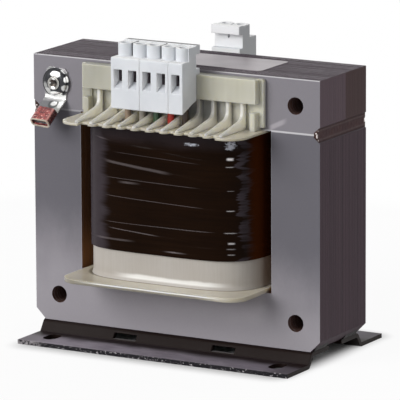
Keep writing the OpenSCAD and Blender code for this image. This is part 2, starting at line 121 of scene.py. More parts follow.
# one shader tree: adds nodes, mixes colours, feeds the surface
class Paint:
    def __init__(self, name, tree=None, **fixed):
        if tree is None:
            self.material = bpy.data.materials.new(name)
            self.material.use_nodes = True
            tree = self.material.node_tree
        self.tree = tree
        self.shader = tree.nodes.get("Principled BSDF")
        for word, value in fixed.items():
            self.shader.inputs[socketName(word)].default_value = value

    def node(self, kind, settings=None, values=None, out=0):
        made = self.tree.nodes.new(kind)
        for key, value in (settings or {}).items():
            setattr(made, key, value)
        for key, value in (values or {}).items():
            self.link(value, made.inputs[key])
        if isinstance(out, tuple):
            return [Wire(self, made.outputs[o]) for o in out]
        return Wire(self, made.outputs[out])

    def link(self, value, socket):
        if isinstance(value, Wire):
            self.tree.links.new(value.socket, socket)
        else:
            socket.default_value = value

    def feed(self, **values):                          # baseColor=..., roughness=..., normal=...
        for word, value in values.items():
            self.link(value, self.shader.inputs[socketName(word)])
        return self.material

    def place(self):
        return self.node("ShaderNodeTexCoord", out="Object")

    def facing(self):
        return self.axes(self.node("ShaderNodeTexCoord", out="Normal"))

    def axes(self, vector):
        return self.node("ShaderNodeSeparateXYZ", {}, {0: vector}, (0, 1, 2))

    def inMm(self, vector):
        return self.axes(self.stretch(vector, (1 / mm,) * 3))

    def stretch(self, vector, factors):
        return self.node("ShaderNodeVectorMath", {"operation": "MULTIPLY"}, {0: vector, 1: factors})

    def grain(self, vector, scale, detail=3.0, rough=0.5):
        return self.node("ShaderNodeTexNoise", {},
            {"Vector": vector, "Scale": scale, "Detail": detail, "Roughness": rough})

    def mix(self, amount, first, second, blend="MIX"):
        return self.node("ShaderNodeMix", {"data_type": "RGBA", "blend_type": blend},
            {0: amount, 6: first if isinstance(first, Wire) else (*first, 1.0),
             7: second if isinstance(second, Wire) else (*second, 1.0)}, out=2)

    def softEdge(self, radius):                        # rounds off edges in the shading
        return self.node("ShaderNodeBevel", {"samples": 6}, {"Radius": radius})

    def bump(self, height, depth, strength=1.0, normal=None):
        values = {"Height": height, "Distance": depth, "Strength": strength}
        if normal is not None:
            values["Normal"] = normal
        return self.node("ShaderNodeBump", {}, values)


def grey(value):
    return (value, value, value)


def runRight(x, y):                                    # rises to the right on the front and on the back
    return x * y.sign() * -1.0


def blot(right, up, spot, ragged):                     # 0 in the middle of a spot, 1 on its rim
    across, high, wide, tall = spot
    return ((right - across) / wide) ** 2.0 + ((up - high) / tall) ** 2.0 + ragged


def ringFaces(a, b, count):                            # between the rings that start at points a and b
    return [(a + i, a + (i + 1) % count, b + (i + 1) % count, b + i) for i in range(count)]


def addPiece(name, points, faces, material, stands=(), sharpAngle=35):
    mesh = bpy.data.meshes.new(name)
    mesh.from_pydata(points, [], faces)
    mesh.update()
    mesh.materials.append(material)
    mesh.shade_smooth()
    mesh.set_sharp_from_angle(angle=math.radians(sharpAngle))
    piece = bpy.data.objects.new(name, mesh)
    bpy.context.scene.collection.objects.link(piece)
    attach(piece, "root")
    if stands:
        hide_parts(*stands)
    return piece


def tidyNormals(piece, closeWithin=0.0):
    bm = bmesh.new()
    bm.from_mesh(piece.data)
    if closeWithin:
        bmesh.ops.remove_doubles(bm, verts=bm.verts, dist=closeWithin)
    bmesh.ops.recalc_face_normals(bm, faces=bm.faces)
    bm.to_mesh(piece.data)
    bm.free()


def dress(material, *names):
    for name in names:
        held = nodes[name].data.materials
        held.clear()
        held.append(material)


# camera, from points measured in the 400 x 400 photograph
photoCamera = {
    "azimuth": 29.852, "elevation": 11.780, "roll": -0.298,
    "target": (0.0, 0.0, 67.18), "distance": 2306.7, "clip": (0.05, 50.0),
    "focalPixels": 5015.4, "middlePixel": (199.32, 198.48), "imagePixels": 400, "sensor": 36.0,
}


def makeCamera(c):
    a, e, r = (math.radians(c[k]) for k in ("azimuth", "elevation", "roll"))
    back = Vector((math.sin(a) * math.cos(e), -math.cos(a) * math.cos(e), math.sin(e)))
    level = Vector((math.cos(a), math.sin(a), 0.0))
    rise = back.cross(level)
    right = math.cos(r) * level + math.sin(r) * rise
    up = math.cos(r) * rise - math.sin(r) * level
    lens = bpy.data.cameras.new("photoCamera")
    lens.sensor_width = c["sensor"]
    lens.lens = c["focalPixels"] / c["imagePixels"] * c["sensor"]
    lens.shift_x = 0.5 - c["middlePixel"][0] / c["imagePixels"]
    lens.shift_y = c["middlePixel"][1] / c["imagePixels"] - 0.5
    lens.clip_start, lens.clip_end = c["clip"]
    camera = bpy.data.objects.new("photoCamera", lens)
    stand = (Vector(c["target"]) + c["distance"] * back) * mm
    camera.matrix_world = Matrix((
        (right.x, up.x, back.x, stand.x), (right.y, up.y, back.y, stand.y),
        (right.z, up.z, back.z, stand.z), (0, 0, 0, 1)))
    bpy.context.scene.collection.objects.link(camera)
    bpy.context.scene.camera = camera


makeCamera(photoCamera)
print("camera placed")

# studio: pale floor, white surroundings, soft lamps
studio = {
    "ambient": 0.30, "floorGrey": 0.45, "floorSeen": 0.95, "floorUnderShade": 0.22, "floorSize": 9.0,
    "railEnd": (68.5, 70.5), "railOut": (44.5, 46.0), "railIn": (26.5, 24.5),  # painted shade on the floor under the rails
    "shade": (63.5, 44.5), "shadeRun": 14.0, "farRun": 300.0, "glow": 0.93,    # floor whitens outwards
    "aim": (0.0, 0.0, 0.07),
    "lamps": (
        # name, place in metres, width, height, watts
        ("keyLamp", (-0.75, -1.45, 0.80), 1.1, 1.1, 25.0),
        ("rightLamp", (1.6, -0.9, 0.9), 0.5, 1.0, 3.2),
        ("backLamp", (0.3, 1.6, 1.2), 1.2, 0.8, 9.0),
    ),
}


def seenRay(paint):
    rays = paint.node("ShaderNodeLightPath", out=("Is Camera Ray", "Is Glossy Ray", "Is Transmission Ray"))
    return rays[0].most(rays[1]).most(rays[2])


def floorPaint(s):
    p = Paint("studioFloor", roughness=0.9, specularIorLevel=0.0)
    seen = seenRay(p)
    x, y = (abs(along) for along in p.inMm(p.place())[:2])
    past = [(along - reach).most(0.0) for along, reach in zip((x, y), s["shade"])]
    away = (past[0] * past[0] + past[1] * past[1]) ** 0.5
    clear = x.ramp(*s["railEnd"]).most(y.ramp(*s["railOut"])).most(y.ramp(*s["railIn"]))
    # painted shade: darker floor under the rails
    pale = p.mix(clear, grey(s["floorUnderShade"]), grey(s["floorSeen"]))
    p.feed(baseColor=p.mix(seen, grey(s["floorGrey"]), pale))
    lit = away.ramp(0.0, s["shadeRun"], 0.0, s["glow"]).most(away.ramp(s["shadeRun"], s["farRun"]))
    glow = p.node("ShaderNodeEmission", {}, {"Color": (1, 1, 1, 1), "Strength": 1.0})
    blended = p.node("ShaderNodeMixShader", {},
        {0: lit * clear * seen, 1: Wire(p, p.shader.outputs[0]), 2: glow})
    p.link(blended, p.tree.nodes["Material Output"].inputs["Surface"])
    return p.material


def makeStudio(s):
    world = bpy.data.worlds.new("studioWorld")
    world.use_nodes = True
    bpy.context.scene.world = world
    air = Paint("studioWorld", world.node_tree)
    background = world.node_tree.nodes["Background"]
    background.inputs["Color"].default_value = (1, 1, 1, 1)
    air.link(s["ambient"] + (1.0 - s["ambient"]) * seenRay(air), background.inputs["Strength"])

    size = s["floorSize"]
    corners = [(-size, -size, 0), (size, -size, 0), (size, size, 0), (-size, size, 0)]
    mesh = bpy.data.meshes.new("studioFloor")
    mesh.from_pydata(corners, [], [(0, 1, 2, 3)])
    mesh.materials.append(floorPaint(s))
    floor = bpy.data.objects.new("studioFloor", mesh)
    bpy.context.scene.collection.objects.link(floor)

    for name, stand, width, height, watts in s["lamps"]:
        lamp = bpy.data.lights.new(name, "AREA")
        lamp.shape, lamp.size, lamp.size_y, lamp.energy = "RECTANGLE", width, height, watts
        holder = bpy.data.objects.new(name, lamp)
        holder.location = stand
        holder.rotation_euler = (Vector(s["aim"]) - Vector(stand)).to_track_quat("-Z", "Y").to_euler()
        bpy.context.scene.collection.objects.link(holder)


makeStudio(studio)
print("studio lit")

# core: single sheets, each a hair out of line with the next
core = {
    "sheet": 0.5, "jog": 0.05, "seed": 4, "holeSteps": 32, "joint": 107.2, "chamfer": 5.0,
    "limb": 25.0, "yoke": 25.0, "tongue": 50.0, "hole": 8.0, "holeInset": 12.5,
    "grooveDepth": 3.0, "grooveMouth": 7.4, "grooveFloor": 2.3,
    "varnish": (0.130, 0.125, 0.143), "varnishPaleAndLit": (0.389, 0.364, 0.394), "seam": (0.78, 0.77, 0.79),
    "edge": (0.128, 0.090, 0.107), "edgeDark": (0.070, 0.048, 0.059),
    "topEdge": (0.052, 0.032, 0.046), "topDark": (0.026, 0.015, 0.022),
    "amber": (0.22, 0.095, 0.032), "bore": (0.125, 0.070, 0.058),
    "sidePale": (0.185, 0.134, 0.155), "sideBrown": (0.088, 0.052, 0.044),
    "fadeE": (64.0, 14.0, 0.0), "fadeI": (90.0, 60.0, 0.34),           # paler towards the bottom, partly painted light; lift
    "underFlangeLightHigh": (12.0, 30.0, 32.5, 33.5), "underFlangeLightAlong": (-45.0, 30.0, 0.2, 0.62), "underFlangeLightEnds": (52.0, 40.0),
    "wipe": (49.6, 108.6, 0.48), "wipeWide": (0.5, 1.8), "reflectionStreakAlong": (48.5, 50.5, 55.0, 59.0),
    "yokeEnd": (73.5, 74.5), "yokeLow": (107.2, 107.6), "twoTone": (1.2, 3.6),
    "windowHigh": (31.5, 33.5, 106.7, 107.3), "windowIn": (51.5, 50.5),
    "window": 50.0, "jambWide": (0.1, 0.5),
    "holes": (62.5, 50.0, 69.7), "boreRing": (18.5, 17.0),             # out and up from the middle height
    "seamWide": (0.2, 0.6), "seamHighlightAlong": (-45.0, -10.0, 0.4, 1.0),
    "crestHighlightHigh": (131.6, 131.95), "crestHighlightAlong": (19.0, 29.0, 0.15, 1.0),
}


def laminationPaint(name, c, fade):
    p = Paint(name, specularIorLevel=0.07)
    place = p.place()
    x, y, z = p.inMm(place)
    ahead, upward = p.facing()[1:]
    flat = abs(ahead).ramp(0.5, 0.8)                            # 1 on the front and back faces
    drift = p.grain(p.stretch(place, (1.0, 1.0, 0.6)), 55.0, 4.0, 0.6)
    fadeHigh, fadeLow, lift = fade
    # paler towards the bottom, partly painted light
    pale = (z + x * 0.07 + (drift - 0.5) * 24.0).ramp(fadeHigh, fadeLow)
    fine = p.grain(place, 900.0, 2.0)
    # painted light: paler band on the lower yoke where the flange's shadow falls
    underFlangeLight = z.zone(*c["underFlangeLightHigh"]) * x.ramp(*c["underFlangeLightAlong"]) * abs(x).ramp(*c["underFlangeLightEnds"])
    # painted reflection: a pale streak across the upper stack near its right end
    streakX, streakZ, slope = c["wipe"]
    reflectionStreakMask = (z - streakZ - (x - streakX) * slope).near(*c["wipeWide"]) * x.zone(*c["reflectionStreakAlong"]) * 0.55
    face = p.mix(pale * 0.75 + lift + underFlangeLight + reflectionStreakMask, c["varnish"], c["varnishPaleAndLit"])
    face = p.mix((fine - 0.5) * 0.25 + 0.5, face, p.mix(0.35, face, grey(1.0), "SOFT_LIGHT"))
    oneWay = {"noise_dimensions": "1D"}
    sheet = p.node("ShaderNodeTexWhiteNoise", oneWay, {"W": (y / c["sheet"]).whole()})
    broad = p.node("ShaderNodeTexNoise", oneWay, {"W": y, "Scale": 0.42, "Detail": 3.0})
    streak = p.grain(p.stretch(place, (40.0, 900.0, 40.0)), 1.0)
    line = (sheet * 0.45 + broad * 0.7 + streak * 0.35 - 0.35).ramp(0.0, 1.0)
    # painted shade: up-facing faces take darker edge colours than the sides
    over = upward.ramp(0.6, 0.9)
    rim = p.mix(over, p.mix(line, c["edgeDark"], c["edge"]), p.mix(line, c["topDark"], c["topEdge"]))
    # painted light: the upper stack's right end paler at the front, browner at the back
    yokeEnd = x.ramp(*c["yokeEnd"]) * z.ramp(*c["yokeLow"]) * (1.0 - over)
    rim = p.mix(yokeEnd * 0.6, rim, p.mix(y.ramp(*c["twoTone"]), c["sidePale"], c["sideBrown"]))
    within = z.zone(*c["windowHigh"])
    rim = p.mix(within * abs(x).ramp(*c["windowIn"]), rim, c["amber"])  # pooled varnish in the windows, made lighter as painted reflected light
    holeX, holeZ, middle = c["holes"]
    across, high = abs(x) - holeX, abs(z - middle) - holeZ      # from the nearest corner hole
    rim = p.mix((across * across + high * high).ramp(*c["boreRing"]), rim, c["bore"])
    seam = (z - c["joint"]).near(*c["seamWide"]) * x.ramp(*c["seamHighlightAlong"])  # painted highlight where the two stacks meet
    # painted highlight along the top front edge, left out where the terminal shades it
    crest = z.ramp(*c["crestHighlightHigh"]) * abs(x).ramp(*c["crestHighlightAlong"])
    # painted highlight along the window edges
    jambHighlight = within * (abs(x) - c["window"]).near(*c["jambWide"])
    bright = flat * (seam * 0.70).most(crest * 0.8).most(jambHighlight * 0.12)
    colour = p.mix(bright, p.mix(flat, rim, face), c["seam"])
    gloss = flat * (0.34 + drift * 0.12) + (1.0 - flat) * (0.5 + line * 0.15)
    relief = p.bump(line * (1.0 - flat) + fine * 0.05, 0.00012, 0.6)
    return p.feed(baseColor=colour, roughness=gloss, normal=relief)


def ringPoints(cx, cz, radius, steps):
    turns = [2 * math.pi * i / steps for i in range(steps)]
    return [(cx + radius * math.cos(t), cz + radius * math.sin(t)) for t in turns]


def sheetStack(name, outline, holes, c, material, node):
    rng = random.Random(c["seed"])
    low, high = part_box(node)[0].y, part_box(node)[1].y
    loops = [outline] + holes
    count = round((high - low) / (c["sheet"] * mm))
    points, faces, first = [], [], []
    for k in range(count):                             # two rings for each sheet
        aside, down = 0.0, 0.0
        if 0 < k < count - 1:
            aside, down = rng.uniform(-1, 1) * c["jog"], rng.uniform(-1, 0) * c["jog"]
        for end in (k, k + 1):
            first.append(len(points))
            y = low + (high - low) * end / count
            for loop in loops:
                for px, pz in loop:
                    inward = aside if loop is not outline else -abs(aside) * (1 if px > 0 else -1)
                    sunk = down if pz > c["joint"] + 1 else 0
                    points.append(((px + inward) * mm, y, (pz + sunk) * mm))
    for a, b in zip(first, first[1:]):
        start = 0
        for loop in loops:
            faces += ringFaces(a + start, b + start, len(loop))
            start += len(loop)
    flat = [[Vector((px, pz, 0)) for px, pz in loop] for loop in loops]
    for triangle in tessellate_polygon(flat):
        faces.append(tuple(first[0] + i for i in triangle))
        faces.append(tuple(first[-1] + i for i in reversed(triangle)))
    tidyNormals(addPiece(name, points, faces, material, [node], sharpAngle=20))


def makeCore(c):
    low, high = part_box("e_core")[0] / mm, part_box("i_yoke")[1] / mm
    w, foot, top, joint = high.x, low.z, high.z, c["joint"]
    floor, mouth, groove = c["grooveFloor"] / 2, c["grooveMouth"] / 2, w - c["grooveDepth"]
    window, tongue, ceiling = w - c["limb"], c["tongue"] / 2, foot + c["yoke"]

    def closed(right):
        return right + [(-px, pz) for px, pz in reversed(right)]

    def holes(z):
        hx, r = w - c["holeInset"], c["hole"] / 2
        return [ringPoints(side * hx, z, r, c["holeSteps"]) for side in (-1, 1)]
    e = closed([
        (w - c["chamfer"], foot), (w, foot + c["chamfer"]), (w, joint - mouth), (groove, joint - floor),
        (groove, joint), (window, joint), (window, ceiling), (tongue, ceiling), (tongue, joint)])
    i = closed([(groove, joint), (groove, joint + floor), (w, joint + mouth), (w, top)])
    lowHoles, highHoles = holes(foot + c["holeInset"]), holes(top - c["holeInset"])
    sheetStack("core_sheets_e", e, lowHoles, c, laminationPaint("laminationE", c, c["fadeE"]), "e_core")
    sheetStack("core_sheets_i", i, highHoles, c, laminationPaint("laminationI", c, c["fadeI"]), "i_yoke")


makeCore(core)
print("core sheets stacked")

# weld beads that fill the side grooves
weld = {
    "sunk": 0.55, "dip": 0.55, "ridge": 0.40, "ridgePlace": 0.66, "ridgeWidth": 0.20,
    "ripple": 0.10, "pitch": 1.5, "crescent": 0.55,
    "around": 25, "along": 132, "capRows": 7, "bulge": 0.8, "middle": 1.3, "closeWithin": 0.00001,
    "steel": (0.080, 0.047, 0.050), "heat": (0.092, 0.052, 0.052),
    "crest": (0.128, 0.093, 0.093), "crestHighlightHigh": 2.1,
    "flank": (0.030, 0.017, 0.016), "flankShadeHigh": (2.6, 3.1),
    "end": (0.040, 0.020, 0.017), "endPale": (0.105, 0.062, 0.055), "glint": (0.96, 0.87, 0.85),
    "glints": (
        # inward from the core's side and above the joint, half width and half height, light
        (1.15, -0.25, 0.42, 1.0, 1.0), (1.6, 1.0, 0.5, 0.35, 0.8),
        (0.45, -2.1, 0.4, 0.6, 0.8), (0.5, 2.2, 0.4, 0.4, 0.5)),
    "paint": (0.024, 0.020, 0.020), "paintLumpHighlight": (0.10, 0.09, 0.088),  # on the welds at the feet; the paler lump tops are painted highlights
}


def weldPaint(w):
    p = Paint("weldBead", specularIorLevel=0.06)
    place = p.place()
    x, y, z = p.inMm(place)
    patches = p.grain(place, 160.0).ramp(0.4, 0.65)
    shine = p.grain(place, 900.0)
    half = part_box("e_core")[1] / mm
    last = abs(y).ramp(half.y - 0.05, half.y + 0.05)            # the ends of the run stay glossy
    inward, up = half.x - abs(x), z - core["joint"]
    dull = p.mix(patches, w["steel"], w["heat"])
    # painted highlights on the bead's two ridges
    dull = p.mix((abs(up) - w["crestHighlightHigh"]).near(0.1, 0.6) * 0.7, dull, w["crest"])
    # painted shade along the bead's flanks
    dull = p.mix(abs(up).ramp(*w["flankShadeHigh"]) * 0.7, dull, w["flank"])
    colour = p.mix(last, dull, p.mix(shine.ramp(0.4, 0.7), w["end"], w["endPale"]))
    for *spot, strength in w["glints"]:
        apart = blot(inward, up, spot, (shine - 0.5) * 1.2)
        colour = p.mix(last * (1.0 - apart.ramp(0.4, 1.2)) * strength, colour, w["glint"])
    return p.feed(baseColor=colour, roughness=0.50 - last * 0.22 + shine * 0.1,
        normal=p.bump(shine, 0.00010, 0.5))


def footWeldPaint(w):
    p = Paint("footWeld", specularIorLevel=0.08)
    lumps = p.grain(p.place(), 420.0, 3.0, 0.6)
    # painted highlights on the lump tops
    colour = p.mix(lumps.ramp(0.55, 0.72), w["paint"], w["paintLumpHighlight"])
    return p.feed(baseColor=colour, roughness=0.28 + lumps * 0.2, normal=p.bump(lumps, 0.0008, 0.7))


def makeWeld(name, side, node, w, material):
    low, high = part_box("e_core")[0] / mm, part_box("e_core")[1] / mm
    deep, joint, n = high.x - core["grooveDepth"], core["joint"], w["around"]
    floor, mouth = core["grooveFloor"] / 2, core["grooveMouth"] / 2
    half = floor + (mouth - floor) * (1 - w["sunk"] / core["grooveDepth"])

    def section(y):                                    # from flank to flank, then along the groove's floor
        ring = []
        for i in range(n):
            u = 2 * i / (n - 1) - 1
            wave = (y / w["pitch"] - w["crescent"] * (1 - u * u)) % 1.0
            ridge = w["ridge"] * math.exp(-((abs(u) - w["ridgePlace"]) / w["ridgeWidth"]) ** 2)
            rough = w["ripple"] * (math.sin(math.pi * wave) + noise.noise((y * 0.5, u * 2, side)))
            depth = w["sunk"] + (1 - u ** 4) * (w["dip"] - rough) - ridge * (1 - u ** 8)
            ring.append((high.x - depth, joint + u * half))
        return ring + [(deep, joint + floor), (deep, joint - floor)]
    caps = [math.pi / 2 * (1 - i / w["capRows"]) for i in range(w["capRows"])]
    stations = [(low.y, low.y - w["bulge"] * math.sin(a), math.cos(a)) for a in caps]
    for k in range(w["along"] + 1):
        y = low.y + (high.y - low.y) * k / w["along"]
        stations.append((y, y, 1.0))
    stations += [(high.y, high.y + w["bulge"] * math.sin(a), math.cos(a)) for a in reversed(caps)]
    points, faces, size = [], [], n + 2
    centre = high.x - w["middle"]
    for y, reach, share in stations:
        for px, pz in section(y):
            x, z = centre + (px - centre) * share, joint + (pz - joint) * share
            points.append((side * x * mm, reach * mm, z * mm))
    for k in range(len(stations) - 1):
        faces += ringFaces(k * size, (k + 1) * size, size)
    piece = addPiece(name, points, faces, material, [node])
    tidyNormals(piece, w["closeWithin"])               # closes the tips of the caps


beadPaint = weldPaint(weld)
makeWeld("weld_bead_left", -1, "left_joint_weld", weld, beadPaint)
makeWeld("weld_bead_right", 1, "right_joint_weld", weld, beadPaint)
dress(footWeldPaint(weld), "left_foot_welds", "right_foot_welds")
print("welds run")

# coil: tape turns with lifted edges over a pale band
coil = {
    "power": 4.2, "columns": 320, "fineSteps": 4000, "tube": (27.0, 24.0),
    "tapeRows": 200, "tapeStep": 0.16, "tapeFade": 3.0, "wrinkle": 0.08, "tapeSunk": 0.25,
    "bandRows": 40, "flare": 0.55, "flareShare": 0.16, "bandWave": 0.10, "bandSunk": 0.12,
    "edges": (
        # height in the middle, fall to the right, light from and to X, half thickness, light
        (96.1, -0.10, -36, -24, 0.3, 0.5), (92.7, -0.038, -24, 23, 0.15, 0.4),
        (86.6, -0.088, -30, 8, 0.70, 0.62), (81.1, -0.018, -30, 23, 0.15, 0.5),
        (79.9, 0.0, -22, -8, 0.55, 0.65), (72.3, -0.028, -30, 25, 0.15, 0.6),
        (60.9, 0.0, -30, 30, 0.15, 0.6), (56.6, -0.06, -28, 2, 0.25, 0.75),
        (53.1, 0.01, -36, -11, 0.5, 0.5), (49.9, 0.0, 2, 16, 0.35, 1.0)),
    "dashes": (
        # height, half thickness, light, half length of the short lines on the right corner
        (94.8, 0.7, 1.0, 1.5), (91.2, 0.25, 0.38, 1.8), (80.2, 0.2, 0.18, 1.5), (71.0, 0.28, 0.42, 1.7),
        (60.8, 0.25, 0.34, 2.6), (56.0, 0.5, 0.6, 1.5), (53.4, 0.3, 0.22, 1.9), (50.8, 0.35, 0.27, 1.6)),
    "sparkles": (
        # along X and up, half width and half height, light
        (17.6, 100.6, 4.4, 0.9, 0.9), (35.6, 101.2, 2.6, 2.6, 0.75)),
    "dashPlace": 35.6, "leftSheen": (-25.5, -32.0), "rightSheen": (38.6, 39.4, 41.2, 42.4),
    "sideFrom": (40.5, 43.5), "hazeHigh": (96.0, 104.5), "hazeEnd": (42.0, 36.0),
    "dark": (0.0062, 0.0019, 0.0003), "brown": (0.0118, 0.0042, 0.0011), "side": (0.056, 0.014, 0.003),
    "sheen": (0.060, 0.049, 0.058), "glint": (0.66, 0.575, 0.585),
    "spark": (0.60, 0.62, 0.70), "flash": (0.90, 0.86, 0.87),
    "paper": (0.47, 0.44, 0.405), "paperWarm": (0.43, 0.395, 0.355), "paperLit": (0.90, 0.89, 0.86),
    "litLow": (35.0, 35.9), "litHigh": (38.0, 36.8), "litAlong": (-26.0, -12.0, 24.0, 38.0),
}


def bulgedLoop(hw, hd, c):                             # even steps round a rectangle with bulging sides
    fine = []
    for i in range(c["fineSteps"]):
        t = 2 * math.pi * i / c["fineSteps"]
        cosine, sine = math.cos(t), math.sin(t)
        out, back = abs(cosine) ** (2 / c["power"]), abs(sine) ** (2 / c["power"])
        fine.append((hw * math.copysign(out, cosine), hd * math.copysign(back, sine)))
    reach = [0.0]
    for a, b in zip(fine, fine[1:] + fine[:1]):
        reach.append(reach[-1] + math.dist(a, b))
    loop, k = [], 0
    for i in range(c["columns"]):
        want = reach[-1] * i / c["columns"]
        while reach[k + 1] < want:
            k += 1
        part = (want - reach[k]) / max(reach[k + 1] - reach[k], 1e-9)
        a, b = fine[k], fine[(k + 1) % len(fine)]
        loop.append((a[0] + (b[0] - a[0]) * part, a[1] + (b[1] - a[1]) * part))
    return loop


def ringWall(name, node, offset, c, material, rows):
    low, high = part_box(node)[0] / mm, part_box(node)[1] / mm
    loop = bulgedLoop(high.x, high.y, c)
    n = len(loop)
    outward = []
    for i in range(n):
        a, b = loop[i - 1], loop[(i + 1) % n]
        outward.append(Vector((b[1] - a[1], a[0] - b[0])).normalized())
    points, faces = [], []
    for k in range(rows + 1):
        z = low.z + (high.z - low.z) * k / rows
        for (px, py), out in zip(loop, outward):
            d = offset(z, (z - low.z) / (high.z - low.z), px, py)
            points.append(((px + out.x * d) * mm, (py + out.y * d) * mm, z * mm))
    for k in range(rows):
        faces += ringFaces(k * n, (k + 1) * n, n)
    inner = len(points)
    tx, ty = c["tube"]
    tube = [(tx, ty), (-tx, ty), (-tx, -ty), (tx, -ty)]
    for z in (low.z, high.z):
        points += [(px * mm, py * mm, z * mm) for px, py in tube]
    flat = [[Vector((*q, 0)) for q in loop], [Vector((*q, 0)) for q in tube]]
    for triangle in tessellate_polygon(flat):
        faces.append(tuple(i if i < n else inner + i - n for i in triangle))
        faces.append(tuple(rows * n + i if i < n else inner + 4 + i - n for i in triangle))
    faces += ringFaces(inner, inner + 4, 4)
    tidyNormals(addPiece(name, points, faces, material, [node], sharpAngle=60))


def tapeOffset(c):
    def offset(z, share, px, py):
        lift = 0.0
        for k, (edge, slope) in enumerate(row[:2] for row in c["edges"]):
            wander = 0.25 * noise.noise((px * 0.05, py * 0.05, k * 3.1))
            depth = edge + slope * px * (1 if py < 0 else -1) + wander - z
            hold = max(0.0, noise.noise((px * 0.045 + 5, py * 0.045, k * 7.7)) + 0.35)
            if depth >= 0:                             # the turn lies under its upper edge
                lift = max(lift, (0.35 + 0.65 * hold) * math.exp(-depth / c["tapeFade"]))
        crease = noise.noise((px * 0.03, py * 0.03, z * 0.55))
        crease += 0.5 * noise.noise((px * 0.05, py * 0.05, z * 1.3))
        return c["tapeStep"] * lift + c["wrinkle"] * crease - c["tapeSunk"]
    return offset


def bandOffset(c):
    def offset(z, share, px, py):                      # the foot of the band turns out on the flange
        flare = c["flare"] * max(0.0, 1 - share / c["flareShare"]) ** 1.5
        return flare + c["bandWave"] * noise.noise((px * 0.06, py * 0.06, z * 0.08)) - c["bandSunk"]
    return offset


def tapePaint(c):
    p = Paint("coilTape", specularIorLevel=0.035)
    place = p.place()
    x, y, z = p.inMm(place)
    along = runRight(x, y)
    cloud = p.grain(p.stretch(place, (1.0, 1.0, 3.0)), 45.0)
    streak = p.grain(p.stretch(place, (30.0, 30.0, 700.0)), 1.0)
    ragged = p.grain(p.stretch(place, (8.0, 8.0, 260.0)), 1.0, 3.0, 0.65)
    crumb = p.grain(p.stretch(place, (600.0, 600.0, 1100.0)), 1.0, 3.0, 0.7)
    colour = p.mix((cloud * 0.6 + streak * 0.5 - 0.1).ramp(0.2, 0.8), c["dark"], c["brown"])
    # painted light: the right side of the coil lighter and red-brown
    colour = p.mix(along.ramp(*c["sideFrom"]), colour, c["side"])
    shaky = along + (ragged - 0.5) * 12.0
    # painted reflections of the lamps on the rounded corners
    corner = shaky.ramp(*c["leftSheen"]) * (0.48 + cloud * 0.40)
    corner = corner + shaky.zone(*c["rightSheen"]) * 0.75 * ragged.ramp(0.35, 0.6)
    # painted sheen along the top of the coil
    topSheen = (z + (cloud - 0.5) * 6.0).ramp(*c["hazeHigh"]) * along.ramp(*c["hazeEnd"]) * 0.38
    colour = p.mix(corner.most(topSheen), colour, c["sheen"])
    for *spot, strength in c["sparkles"]:
        apart = blot(along, z, spot, (crumb - 0.5) * 3.4)
        colour = p.mix((1.0 - apart.ramp(0.0, 0.9)) * strength, colour, c["spark"])
    light = cloud * 0.0
    for height, fall, left, right, thick, strength in c["edges"]:
        gap = z - height - along * fall + (streak - 0.5) * thick
        run = along.zone(left, left + 6, right - 8, right)
        light = light + gap.near(thick * 0.4, thick * 1.3) * run * (0.21 * strength)
    colour = p.mix(light.least(1.0) * (0.6 + cloud * 0.6), colour, c["glint"])
    flash = cloud * 0.0
    aside = along - c["dashPlace"] + (ragged - 0.5) * 2.0
    for height, thick, strength, reach in c["dashes"]:
        dash = (z - height).near(thick * 0.3, thick * 1.3) * aside.near(reach * 0.45, reach * 1.15)
        flash = flash + dash * strength
    colour = p.mix(flash.least(1.0) * (0.55 + cloud * 0.7), colour, c["flash"])
    return p.feed(baseColor=colour, roughness=0.16 + cloud * 0.14,
        normal=p.bump(streak * 0.6 + cloud, 0.0004, 0.25))


def paperPaint(c):
    p = Paint("marginBand", specularIorLevel=0.35)
    place = p.place()
    x, y, z = p.inMm(place)
    fibre = p.grain(p.stretch(place, (1100.0, 1100.0, 50.0)), 1.0)
    cloud = p.grain(place, 70.0)
    colour = p.mix((fibre * 0.5 + cloud * 0.6).ramp(0.3, 0.8), c["paperWarm"], c["paper"])
    lit = (z + (cloud - 0.5) * 2.0).ramp(*c["litHigh"]) * z.ramp(*c["litLow"])
    colour = p.mix(lit * runRight(x, y).zone(*c["litAlong"]) * 0.9, colour, c["paperLit"])
    return p.feed(baseColor=colour, roughness=0.36 + fibre * 0.12, normal=p.bump(fibre, 0.00015, 0.3))


ringWall("coil_tape", "coil_wrap", tapeOffset(coil), coil, tapePaint(coil), coil["tapeRows"])
ringWall("coil_margin_band", "margin_band", bandOffset(coil), coil, paperPaint(coil),
    coil["bandRows"])
print("coil taped")

# moulded former and combs: milky nylon, with painted shade on the comb wall under the bar
nylon = {
    # top, side, turn and lean: painted shade by facing, height and position along X
    "bar": {"milk": (0.46, 0.45, 0.375), "pale": (0.56, 0.55, 0.475),
        "top": 0.70, "side": 1.0, "turn": 0.0, "edge": 0.5, "smooth": 0.30, "lean": 3.4, "depth": 3.5},
    "comb": {"milk": (0.78, 0.74, 0.65), "pale": (0.88, 0.85, 0.77),
        "top": 0.74, "side": 1.0, "turn": 0.0, "edge": 0.45, "smooth": 0.30, "lean": 0.0, "depth": 6.0},
    "flange": {"milk": (0.59, 0.54, 0.435), "pale": (0.67, 0.62, 0.52),
        "top": 1.0, "side": 0.47, "turn": 0.36, "edge": 0.9, "smooth": 0.16, "lean": 0.0, "depth": 3.5},
    "veil": (0.27, 0.275, 0.28), "veilDeep": (30.0, 25.0),
    "veilHigh": (108.0, 112.0, 119.2, 120.0), "wallShadeAlong": (-24.0, -19.0, 18.0, 40.0),
    "pitch": 7.5, "barLow": (119.7, 120.7), "flankShadeHigh": (60.0, 90.0), "flankShadeAlong": (18.0, 40.0),
    "gleam": (0.95, 0.94, 0.88), "rimHigh": 33.5, "rimOut": (47.9, 48.2),
    "rimAlong": (-40.0, -20.0, 30.0, 40.0),
    "crack": (0.15, 0.13, 0.10), "footShadeHigh": 34.2, "footShadeRing": (1.055, 1.025),
}


